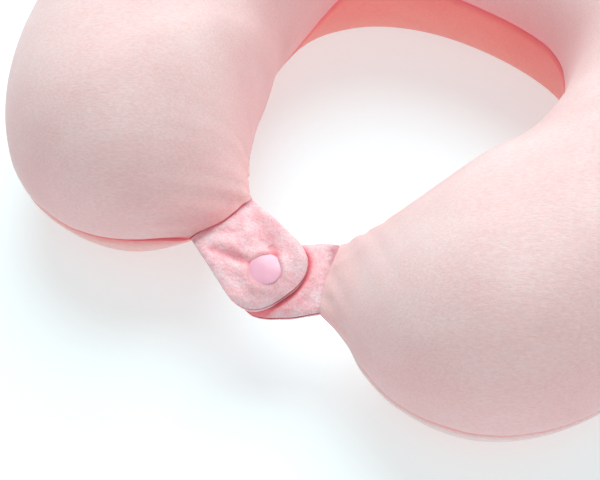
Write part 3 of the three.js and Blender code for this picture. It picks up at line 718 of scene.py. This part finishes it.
def tab_piece(name, tab, facing, folds, above, below, material, seed):
    """One plush layer of a tab: facing +1 is the one on top, and -1 the one underneath."""
    plan, distance = tab_outline_rows(tab)
    middle, outer, inner = tab_heights(tab, plan, distance, folds, above, below)
    rise = outer if facing == tab["level"] else inner
    if tab["side"] > 0 and facing > 0:  # it swells up beside the end of the upper tab, which presses on it
        beside = bell(past_upper_tab(tab, plan) - SWOLLEN.at, SWOLLEN.width)
        rise = rise + SWOLLEN.height * (beside * smooth(distance / SWOLLEN.edge))
    pull = 1 - TAB_EDGE.groove / tab["end_half"] * bell(distance, TAB_EDGE.groove_reach)[..., None]
    centre = np.stack([np.minimum(plan[..., 0], end_start(tab)), np.zeros(plan.shape[:2])], -1)
    drawn = centre + (plan - centre) * pull
    sheet = np.dstack([drawn, middle + facing * SHEET])
    face = np.dstack([drawn, middle + facing * (SHEET + rise)])
    normal = grid_normals(face)
    normal = normal * np.sign(normal[TAB_ROWS // 2, TAB_COLUMNS.straight // 4, 2]) * facing
    fluff = sum(depth * grain(plan, size, seed + k) for k, (depth, size) in enumerate(FLUFF))
    calm = smooth(distance / CALM.edge) * smooth((plan[..., 0] - ROOT) / CALM.root)
    calm = calm * (1 - CALM.ring * bell(snap_distance(tab, plan) - CALM.ring_at, CALM.ring_width))
    face = face + normal * (fluff * calm)[..., None]
    points = tab_to_frame(tab, np.concatenate([sheet.reshape(-1, 3), face.reshape(-1, 3)]))
    crease = tab_creases(tab, facing, plan, distance, folds)
    # The sheet between the two layers is painted fully in the shade colour.
    crease = np.stack([np.ones_like(crease), crease])
    piece = make_piece(name, points, sheet_faces(*plan.shape[:2]), material, crease=crease)
    tidy_mesh(piece, 2e-6)
    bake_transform(piece)
    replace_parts(piece, name)
    return piece


# ---------------- snap
CAP = Sizes(radius=6.2, edge=0.7, dome=0.9, post=1.1, head=1.55, head_height=0.5)
SOCKET = Sizes(radius=5.35, height=3.0, base=0.8, bore=2.7)
STUD = Sizes(radius=5.35, flange=0.8, knob=2.1, bore=1.75, knob_height=1.3)
POST_HOLE = 1.4
RIVETED = 2 * TAB.layer + 4 * CLEARANCE + CAP.head_height
CLOTH_FACE = CLEARANCE / 2 + TAB.layer + CLEARANCE  # from the middle of a tab to its snap parts


def rounded(points, radius, steps=4):
    """A profile with each inner corner of `points` rounded off by a short quadratic curve."""
    points = np.array(points, float)
    out = [points[0]]
    for a, b, c in zip(points, points[1:], points[2:]):
        to_a, to_c = a - b, c - b
        near = min(radius, 0.45 * np.linalg.norm(to_a), 0.45 * np.linalg.norm(to_c))
        p, q = b + near * to_a / np.linalg.norm(to_a), b + near * to_c / np.linalg.norm(to_c)
        out += [(1 - t) ** 2 * p + 2 * t * (1 - t) * b + t**2 * q for t in np.linspace(0, 1, steps + 1)]
    return [*out, points[-1]]


def on_tab(tab, outside):
    """Takes points drawn about the snap's axis to the tab's outer face, or else to its inner face."""
    height = tab["level"] * (TAB.lift + (CLOTH_FACE if outside else -CLOTH_FACE))
    return lambda points: tab_to_frame(tab, points + np.array([tab_reach(tab), 0, height]))


def snap_part(name, profile, tab, outside, material, flip=False):
    piece = lathe(name, profile, on_tab(tab, outside), material, flip=flip)
    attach(piece, tab["body"])
    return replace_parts(piece, name)


def snap_cap(name, tab, post, material):
    """The domed cap of one half of the snap, with its post, which is riveted over through the tab."""
    dome = [
        (CAP.radius * math.cos(a * DEGREE), CAP.edge + CAP.dome * math.sin(a * DEGREE))
        for a in range(0, 90, 6)
    ]
    riveted = -post + CAP.head_height
    corners = [(0, -post), (CAP.head, -post), (CAP.head, riveted), (CAP.post, riveted)]
    corners += [(CAP.post, 0), (CAP.radius - 0.3, 0), (CAP.radius, 0.35)]
    profile = [*rounded(corners, 0.12), *dome, (0, CAP.edge + CAP.dome)]
    return snap_part(name, profile, tab, True, material, flip=tab["level"] < 0)


def snap_socket(material):
    radius, height, base, bore = SOCKET.radius, SOCKET.height, SOCKET.base, SOCKET.bore
    corners = [(POST_HOLE, -base), (bore, -base), (bore, -height + 0.4), (bore + 0.25, -height)]
    corners += [(radius - 1.1, -height), (radius - 0.8, -base), (radius, -base + 0.15), (radius, 0)]
    profile = rounded([*corners, (POST_HOLE, 0)], 0.15)
    return snap_part("snap_socket", profile, UPPER_TAB, False, material)


def snap_stud(material):
    radius, flange, knob, bore = STUD.radius, STUD.flange, STUD.knob, STUD.bore
    top = flange + STUD.knob_height
    corners = [(POST_HOLE, 0), (radius, 0), (radius, flange - 0.15), (radius - 0.4, flange)]
    corners += [(knob - 0.12, flange), (knob, top - 0.55), (knob - 0.28, top), (bore, top), (bore, flange)]
    profile = rounded([*corners, (POST_HOLE, flange)], 0.12)
    return snap_part("snap_stud", profile, LOWER_TAB, False, material)


# ---------------- zip
TAPE_MESH = Sizes(rows=260, columns=26, overrun=0.5 * DEGREE)
SELVEDGE = Sizes(plain=0.72, raised=0.28, inner=(0.5, 0.35), outer=(0.3, 0.3))  # place and width
RIPPLE = Sizes(depth=0.03, reach=1.5)  # the tape is drawn in at each stitch of the coil
# The heads of the two coils reach past the middle and lie between each other.
WIRE = Sizes(pitch=1.5, radius=0.31, head=-0.28, steps=14, sides=8, roundness=0.8)


def zip_arc(half_angle, count):
    """Angles from +X, anticlockwise, of points along the zip."""
    return np.linspace(math.pi / 2 - half_angle, math.pi / 2 + half_angle, count)


def zip_tape(side, material):
    """A woven tape with a thicker cord along the edge that the coil is sewn to."""
    angles = zip_arc(ZIP.half_angle + TAPE_MESH.overrun, TAPE_MESH.rows)
    z = np.linspace(TAPE.start, TAPE.to, TAPE_MESH.columns)
    (near, near_width), (far, far_width) = SELVEDGE.inner, SELVEDGE.outer
    cords = bell(z - TAPE.start - near, near_width) + bell(z - TAPE.to + far, far_width)
    thick = TAPE.thickness / 2 * (SELVEDGE.plain + SELVEDGE.raised * cords)
    middle = ZIP.radius - TAPE.inset - TAPE.thickness / 2
    ring_z = np.concatenate([z, z[::-1]])
    ring_r = np.concatenate([middle + thick, middle - thick[::-1]])
    ripple = RIPPLE.depth * np.sin(angles * ZIP.radius * 2 * math.pi / WIRE.pitch)[:, None]
    radius = ring_r[None] + ripple * np.exp(-(ring_z - TAPE.start) / RIPPLE.reach)
    level = np.broadcast_to(ZIP.z + side * ring_z, radius.shape)
    points = np.stack([radius * np.cos(angles)[:, None], radius * np.sin(angles)[:, None], level], -1)
    name = "zip_tape_upper" if side > 0 else "zip_tape_lower"
    piece = make_piece(name, points, loft_faces(len(angles), len(ring_z)), material)
    tidy_mesh(piece, 1e-6)
    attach(piece, "pillow")
    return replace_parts(piece, name)


def zip_coil(side, material):
    """The spiral of monofilament that makes one side's teeth."""
    wire, head = WIRE.radius, WIRE.head
    half = ZIP.half_angle - DEGREE
    steps = int(2 * half * ZIP.radius / WIRE.pitch) * WIRE.steps
    angles = zip_arc(half, steps)
    phase = np.arange(steps) / WIRE.steps * 2 * math.pi + (math.pi if side < 0 else 0)
    r_mid, z_mid = ZIP.radius - COIL.inset - COIL.thickness / 2, (head + COIL.to) / 2
    r_half, z_half = COIL.thickness / 2 - wire, (COIL.to - head) / 2 - wire
    radius = r_mid + r_half * power(np.sin(phase), WIRE.roundness)
    height = z_mid - z_half * power(np.cos(phase), WIRE.roundness)
    line = np.stack([radius * np.cos(angles), radius * np.sin(angles), ZIP.z + side * height], -1)
    run = np.gradient(line, axis=0)
    run /= np.linalg.norm(run, axis=1, keepdims=True)
    axis = np.stack([-np.sin(angles), np.cos(angles), np.zeros(steps)], -1)
    first = np.cross(run, axis)
    first /= np.linalg.norm(first, axis=1, keepdims=True)
    second = np.cross(run, first)
    ring = np.linspace(0, 2 * math.pi, WIRE.sides, endpoint=False)[None, :, None]
    points = line[:, None] + wire * (np.cos(ring) * first[:, None] + np.sin(ring) * second[:, None])
    name = "zip_coil_upper" if side > 0 else "zip_coil_lower"
    piece = make_piece(name, points, loft_faces(steps, WIRE.sides), material)
    tidy_mesh(piece, 1e-7)
    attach(piece, "pillow")
    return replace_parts(piece, name)


SHARP = Sizes(flat=2 * DEGREE, bevelled=35 * DEGREE, shaded=50 * DEGREE)  # angles between faces


def rounded_copy(node, body, material, bevel):
    """A copy of the CAD node's shape with its edges rounded off."""
    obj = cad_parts[node].copy()
    obj.data = obj.data.copy()
    obj.name = "detailed_" + node
    obj.parent = None
    for key in list(obj.keys()):
        del obj[key]
    bpy.context.scene.collection.objects.link(obj)
    mesh = bmesh.new()
    mesh.from_mesh(obj.data)
    bmesh.ops.remove_doubles(mesh, verts=mesh.verts, dist=2e-6)
    bmesh.ops.dissolve_limit(mesh, angle_limit=SHARP.flat, verts=mesh.verts, edges=mesh.edges)
    sharp = [e for e in mesh.edges if e.is_manifold and e.calc_face_angle(0) > SHARP.bevelled]
    rounding = {"offset": bevel * MM, "segments": 3, "profile": 0.5, "affect": "EDGES", "clamp_overlap": True}
    bmesh.ops.bevel(mesh, geom=sharp, **rounding)
    bmesh.ops.recalc_face_normals(mesh, faces=mesh.faces)
    mesh.to_mesh(obj.data)
    mesh.free()
    obj.data.polygons.foreach_set("use_smooth", [True] * len(obj.data.polygons))
    obj.data.set_sharp_from_angle(angle=SHARP.shaded)
    obj.data.materials.clear()
    obj.data.materials.append(material)
    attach(obj, body)
    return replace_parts(obj, node)


# ---------------- materials
def linear(code):
    """Linear RGBA of a colour written as rrggbb."""
    values = [int(code[i : i + 2], 16) / 255 for i in (0, 2, 4)]
    return (*[v / 12.92 if v <= 0.04045 else ((v + 0.055) / 1.055) ** 2.4 for v in values], 1.0)


class Finish:
    """A material under construction: nodes are added by `node`, which returns the first output."""

    def __init__(self, name, **settings):
        self.material = bpy.data.materials.new(name)
        self.material.use_nodes = True
        self.tree = self.material.node_tree
        self.shader = self.tree.nodes["Principled BSDF"]
        for socket, value in settings.items():
            self.shader.inputs[socket.replace("_", " ")].default_value = value

    def node(self, kind, inputs=(), output=0, **settings):
        made = self.tree.nodes.new("ShaderNode" + kind)
        for key, value in settings.items():
            setattr(made, key, value)
        for key, value in dict(inputs).items():
            if isinstance(value, bpy.types.NodeSocket):
                self.tree.links.new(value, made.inputs[key])
            else:
                made.inputs[key].default_value = value
        return made.outputs[output]

    def place(self, size, turn=(0, 0, 0)):
        """Object coordinates divided by a feature size in millimetres, one number or one for each axis."""
        sizes = size if isinstance(size, tuple) else (size, size, size)
        scale = tuple(v * MM for v in sizes)
        inputs = {"Vector": self.node("TexCoord", output="Object"), "Rotation": turn, "Scale": scale}
        return self.node("Mapping", inputs, vector_type="TEXTURE")

    def noise(self, size, detail=2.0, roughness=0.5, turn=(0, 0, 0)):
        inputs = {"Vector": self.place(size, turn), "Scale": 1.0, "Detail": detail, "Roughness": roughness}
        return self.node("TexNoise", inputs)

    def wave(self, size, distortion=None, way="X"):
        """Even stripes across X, Z or the diagonal."""
        inputs = {"Vector": self.place(size), "Scale": 1.0}
        if distortion is not None:
            inputs["Distortion"] = distortion
        return self.node("TexWave", inputs, wave_type="BANDS", bands_direction=way)

    def maths(self, operation, a, b):
        return self.node("Math", {0: a, 1: b}, operation=operation)

    def mix(self, *parts):
        """Weighted sum of (value, weight) pairs."""
        total = self.maths("MULTIPLY", *parts[0])
        for value, weight in parts[1:]:
            total = self.maths("ADD", total, self.maths("MULTIPLY", value, weight))
        return total

    def crease(self, colour, deep):
        """Painted shade: colour turned into `deep` by the mesh's own share of painted shade, set in seams,
        furrows and where parts press together.
        """
        share = self.node("Attribute", output=2, attribute_name="crease")
        return self.blend(share, colour, linear(deep))

    def blend(self, share, a, b):
        return self.node("Mix", {"Factor": share, 6: a, 7: b}, output=2, data_type="RGBA")

    def ramp(self, value, low, high):
        """value stretched so that low becomes 0 and high becomes 1."""
        return self.node("MapRange", {0: value, 1: low, 2: high, 3: 0.0, 4: 1.0})

    def bump(self, height, distance, strength=1.0, under=None):
        inputs = {"Height": height, "Distance": distance * MM, "Strength": strength}
        if under is not None:
            inputs["Normal"] = under
        return self.node("Bump", inputs)

    def finish(self, colour=None, normal=None, roughness=None):
        for socket, value in (("Base Color", colour), ("Normal", normal), ("Roughness", roughness)):
            if value is not None:
                self.tree.links.new(value, self.shader.inputs[socket])
        return self.material


PILE_TURN = (0, 0, 33 * DEGREE)  # the way the pile was brushed


def pile(name, sheen_roughness, weight, spread, depth):
    """A soft pile that lets light in `depth` millimetres deep, red further than the rest by 1 to `spread`."""
    return Finish(
        name, Roughness=0.9, Sheen_Weight=0.3, Sheen_Roughness=sheen_roughness, Subsurface_Weight=weight,
        Subsurface_Radius=(1.0, spread, spread), Subsurface_Scale=depth * MM, Sheen_Tint=linear("ffffff"),
        Specular_IOR_Level=0.1,
    )  # fmt: skip


def velour(name, deep, mid, pale, warm=None):
    """Short-pile knitted velour: fine ripples lying one way, faint brushed patches and loose fuzz.

    Where the mesh has its share of painted salmon shade, from 0 to 1, the colours turn towards the given salmon
    colours, which stand for pink light bounced into shade.
    """
    f = pile(name, sheen_roughness=0.45, weight=0.3, spread=0.35, depth=2.5)
    ripples = f.noise((2.2, 0.62, 0.7), 2.0, 0.6, PILE_TURN)
    fuzz = f.noise(0.3, 2.0, 0.6)
    patches = f.noise((30, 17, 20), 2.0, 0.5, PILE_TURN)
    mixed = f.mix((ripples, 0.45), (fuzz, 0.3), (patches, 0.25))
    colour = f.blend(f.ramp(mixed, 0.34, 0.5), linear(deep), linear(mid))
    colour = f.blend(f.ramp(mixed, 0.5, 0.66), colour, linear(pale))
    if warm:
        warmth = f.node("Attribute", output=2, attribute_name="warmth")
        colour = f.blend(warmth, colour, f.blend(f.ramp(mixed, 0.35, 0.65), linear(warm[0]), linear(warm[1])))
    normal = f.bump(patches, 1.0, 0.1)
    normal = f.bump(ripples, 0.32, 0.35, normal)
    normal = f.bump(fuzz, 0.2, 0.5, normal)
    # Painted shade: seams, furrows and lips turn deeper pink.
    return f.finish(f.crease(colour, "ff838d"), normal)


def plush():
    """Longer, fluffier pile of the tabs: pale tips over a deeper base."""
    f = pile("plush", sheen_roughness=0.4, weight=0.7, spread=0.3, depth=4.5)
    tufts = f.noise(0.4, 3.0, 0.7)
    fuzz = f.noise(0.22, 2.0, 0.6)
    patches = f.noise((7, 5, 5), 2.0, 0.5)
    mixed = f.mix((tufts, 0.55), (fuzz, 0.2), (patches, 0.25))
    colour = f.blend(f.ramp(mixed, 0.36, 0.5), linear("f2a2ae"), linear("f9ced4"))
    colour = f.blend(f.ramp(mixed, 0.5, 0.62), colour, linear("ffe9eb"))
    normal = f.bump(patches, 0.7, 0.2)
    normal = f.bump(tufts, 0.3, 0.45, normal)
    normal = f.bump(fuzz, 0.16, 0.5, normal)
    # Painted shade: seams, furrows, the ring round the cap and the contact under the upper tab's end turn deeper
    # pink.
    return f.finish(f.crease(colour, "ff7a88"), normal)


def foam():
    """Open-cell memory foam with small pores."""
    f = Finish("foam", Roughness=0.85)
    pores = f.node("TexVoronoi", {"Vector": f.place(0.9), "Scale": 1.0}, feature="F1")
    tone = f.noise(18, 2.0)
    colour = f.blend(f.ramp(pores, 0.05, 0.4), linear("d8c79c"), linear("f4ead2"))
    colour = f.blend(f.maths("MULTIPLY", tone, 0.35), colour, linear("eadbb4"))
    return f.finish(colour, f.bump(f.ramp(pores, 0.0, 0.45), 0.3, 0.7))


def knit():
    """Fine jersey of the liner."""
    f = Finish("liner", Roughness=0.9, Sheen_Weight=0.2)
    loops = f.maths("MULTIPLY", f.wave(0.9, 1.5), f.wave(0.9, 1.0, "Z"))
    colour = f.blend(f.ramp(loops, 0.0, 0.7), linear("e4d4d0"), linear("f8f1ee"))
    return f.finish(colour, f.bump(loops, 0.15, 0.6))


def woven_tape():
    """Herringbone of a zip tape."""
    f = Finish("zip_tape", Roughness=0.8, Sheen_Weight=0.25)
    weave = f.mix((f.wave(0.55, 0.6, "DIAGONAL"), 0.6), (f.wave(0.4, way="Z"), 0.4))
    colour = f.blend(f.ramp(weave, 0.2, 0.8), linear("d98f94"), linear("efb5b8"))
    return f.finish(colour, f.bump(weave, 0.12, 0.7))


def plastic(name, colour, deeper, roughness, coat, metallic=0.0):
    """Moulded plastic or enamel with a faint unevenness."""
    f = Finish(name, Roughness=roughness, Coat_Weight=coat, Coat_Roughness=0.12, Metallic=metallic)
    swirl = f.noise(7, 2.0)
    dapple = f.noise(0.6, 2.0)
    blended = f.blend(f.ramp(swirl, 0.3, 0.7), linear(deeper), linear(colour))
    rough = f.node("MapRange", {0: dapple, 3: roughness - 0.06, 4: roughness + 0.08})
    return f.finish(blended, f.bump(dapple, 0.02, 0.35), rough)


def floor_finish():
    """Matt white card of a light table, glowing enough for the shadows on it to stay pale."""
    glow = {"Emission_Color": (1, 1, 1, 1), "Emission_Strength": FLOOR.glow}
    f = Finish("floor_card", Roughness=0.8, Specular_IOR_Level=0.0, **glow)
    tooth = f.noise(1.5, 3.0)
    colour = f.blend(tooth, linear("b1cbce"), linear("b5cfd2"))
    return f.finish(colour, f.bump(tooth, 0.05, 0.1))


# ---------------- assembly
PALE_PINK = ("e7c9c8", "eed7d6", "f5e5e4")
velour_top = velour("velour_top", *PALE_PINK)
# The salmon colours of the underside are painted shade with pink light bounced into it.
velour_bottom = velour("velour_bottom", *PALE_PINK, warm=("f68e84", "ffa59c"))
plush_pink = plush()
snap_plastic = plastic("snap_plastic", "edbcd0", "e6aec6", 0.32, 0.3)
zip_plastic = plastic("zip_plastic", "e79ea3", "dc8f96", 0.42, 0.1)
slider_metal = plastic("slider_enamel", "e39aa0", "d98b93", 0.3, 0.4, metallic=0.2)
tape_weave = woven_tape()

offsets = inflate_cover()
top_panel = cover_panel("cover_top_panel", 1, velour_top, offsets)
bottom_panel = cover_panel("cover_bottom_panel", -1, velour_bottom, offsets)
core = foam_core(foam())
liner = inner_liner(knit())

UPPER_HEIGHTS, LOWER_HEIGHTS = (2.3, 2.5), (2.1, 2.4)  # of each tab's outer and inner faces
tab_pieces = [
    tab_piece("upper_tab_face", UPPER_TAB, 1, UPPER_FOLDS, *UPPER_HEIGHTS, plush_pink, seed=11),
    tab_piece("upper_tab_lining", UPPER_TAB, -1, UPPER_FOLDS, *UPPER_HEIGHTS, plush_pink, seed=21),
    tab_piece("lower_tab_face", LOWER_TAB, 1, LOWER_FOLDS, *LOWER_HEIGHTS, plush_pink, seed=31),
    tab_piece("lower_tab_lining", LOWER_TAB, -1, LOWER_FOLDS, *LOWER_HEIGHTS, plush_pink, seed=41),
]

snap_pieces = [
    snap_cap("snap_cap", UPPER_TAB, RIVETED + SOCKET.base, snap_plastic),
    snap_socket(snap_plastic),
    snap_stud(snap_plastic),
    snap_cap("snap_back_cap", LOWER_TAB, RIVETED + STUD.flange, snap_plastic),
]

for side in (1, -1):
    zip_tape(side, tape_weave)
    zip_coil(side, zip_plastic)
for node in ("zip_top_stop_upper", "zip_top_stop_lower", "zip_bottom_stop"):
    rounded_copy(node, "pillow", zip_plastic, 0.3)
rounded_copy("zip_slider", "slider", slider_metal, 0.22)
rounded_copy("zip_pull", "pull", slider_metal, 0.28)

# ---------------- floor, light and camera
FLOOR = Sizes(half=12000.0, level=-0.4, glow=0.5)
AMBIENT = Sizes(colour=(1.0, 0.91, 0.9, 1), strength=0.43)
VIEW = Sizes(azimuth=33.6, elevation=51.0, distance=598.0, target=(9.2, -98.4, 50.0), lens=99.8)
# Lights by azimuth round from the camera's, elevation, distance and size in metres, watts and colour.
LIGHTS = {
    "softbox": (178, 58, 1.6, 1.5, 27, (0.97, 1.0, 1.0)),
    "fill": (12, 38, 1.8, 1.4, 5.5, (1.0, 0.86, 0.86)),
}
LIGHTS_AIM = Vector((0, 0, 0.04))

quarters = ((-1, -1), (1, -1), (1, 1), (-1, 1))
corners = [(x * FLOOR.half, y * FLOOR.half, FLOOR.level) for x, y in quarters]
make_piece("floor", corners, [[0, 1, 2, 3]], floor_finish())

world = bpy.data.worlds.new("studio")
world.use_nodes = True
world.node_tree.nodes["Background"].inputs["Color"].default_value = AMBIENT.colour
world.node_tree.nodes["Background"].inputs["Strength"].default_value = AMBIENT.strength
bpy.context.scene.world = world
bpy.context.scene.view_settings.view_transform = "Standard"


def direction(azimuth, elevation):
    """Unit vector from the object towards a viewer at that azimuth and elevation, in degrees."""
    a, e = azimuth * DEGREE, elevation * DEGREE
    return Vector((math.sin(a) * math.cos(e), -math.cos(a) * math.cos(e), math.sin(e)))


def area_light(name, turn, elevation, distance, size, watts, colour):
    light = bpy.data.lights.new(name, "AREA")
    light.color = colour
    light.shape = "DISK"
    light.size, light.energy = size, watts
    obj = bpy.data.objects.new(name, light)
    bpy.context.scene.collection.objects.link(obj)
    towards = direction(VIEW.azimuth + turn, elevation)
    obj.location = towards * distance + LIGHTS_AIM
    obj.rotation_mode = "QUATERNION"
    obj.rotation_quaternion = towards.to_track_quat("Z", "Y")


for name, numbers in LIGHTS.items():
    area_light(name, *numbers)

camera = bpy.data.objects.new("camera", bpy.data.cameras.new("camera"))
bpy.context.scene.collection.objects.link(camera)
camera.data.lens = VIEW.lens
camera.data.clip_start, camera.data.clip_end = 0.02, 50
back = direction(VIEW.azimuth, VIEW.elevation)
camera.location = Vector(VIEW.target) * MM + back * VIEW.distance * MM
camera.rotation_mode = "QUATERNION"
camera.rotation_quaternion = back.to_track_quat("Z", "Y")
bpy.context.scene.camera = camera
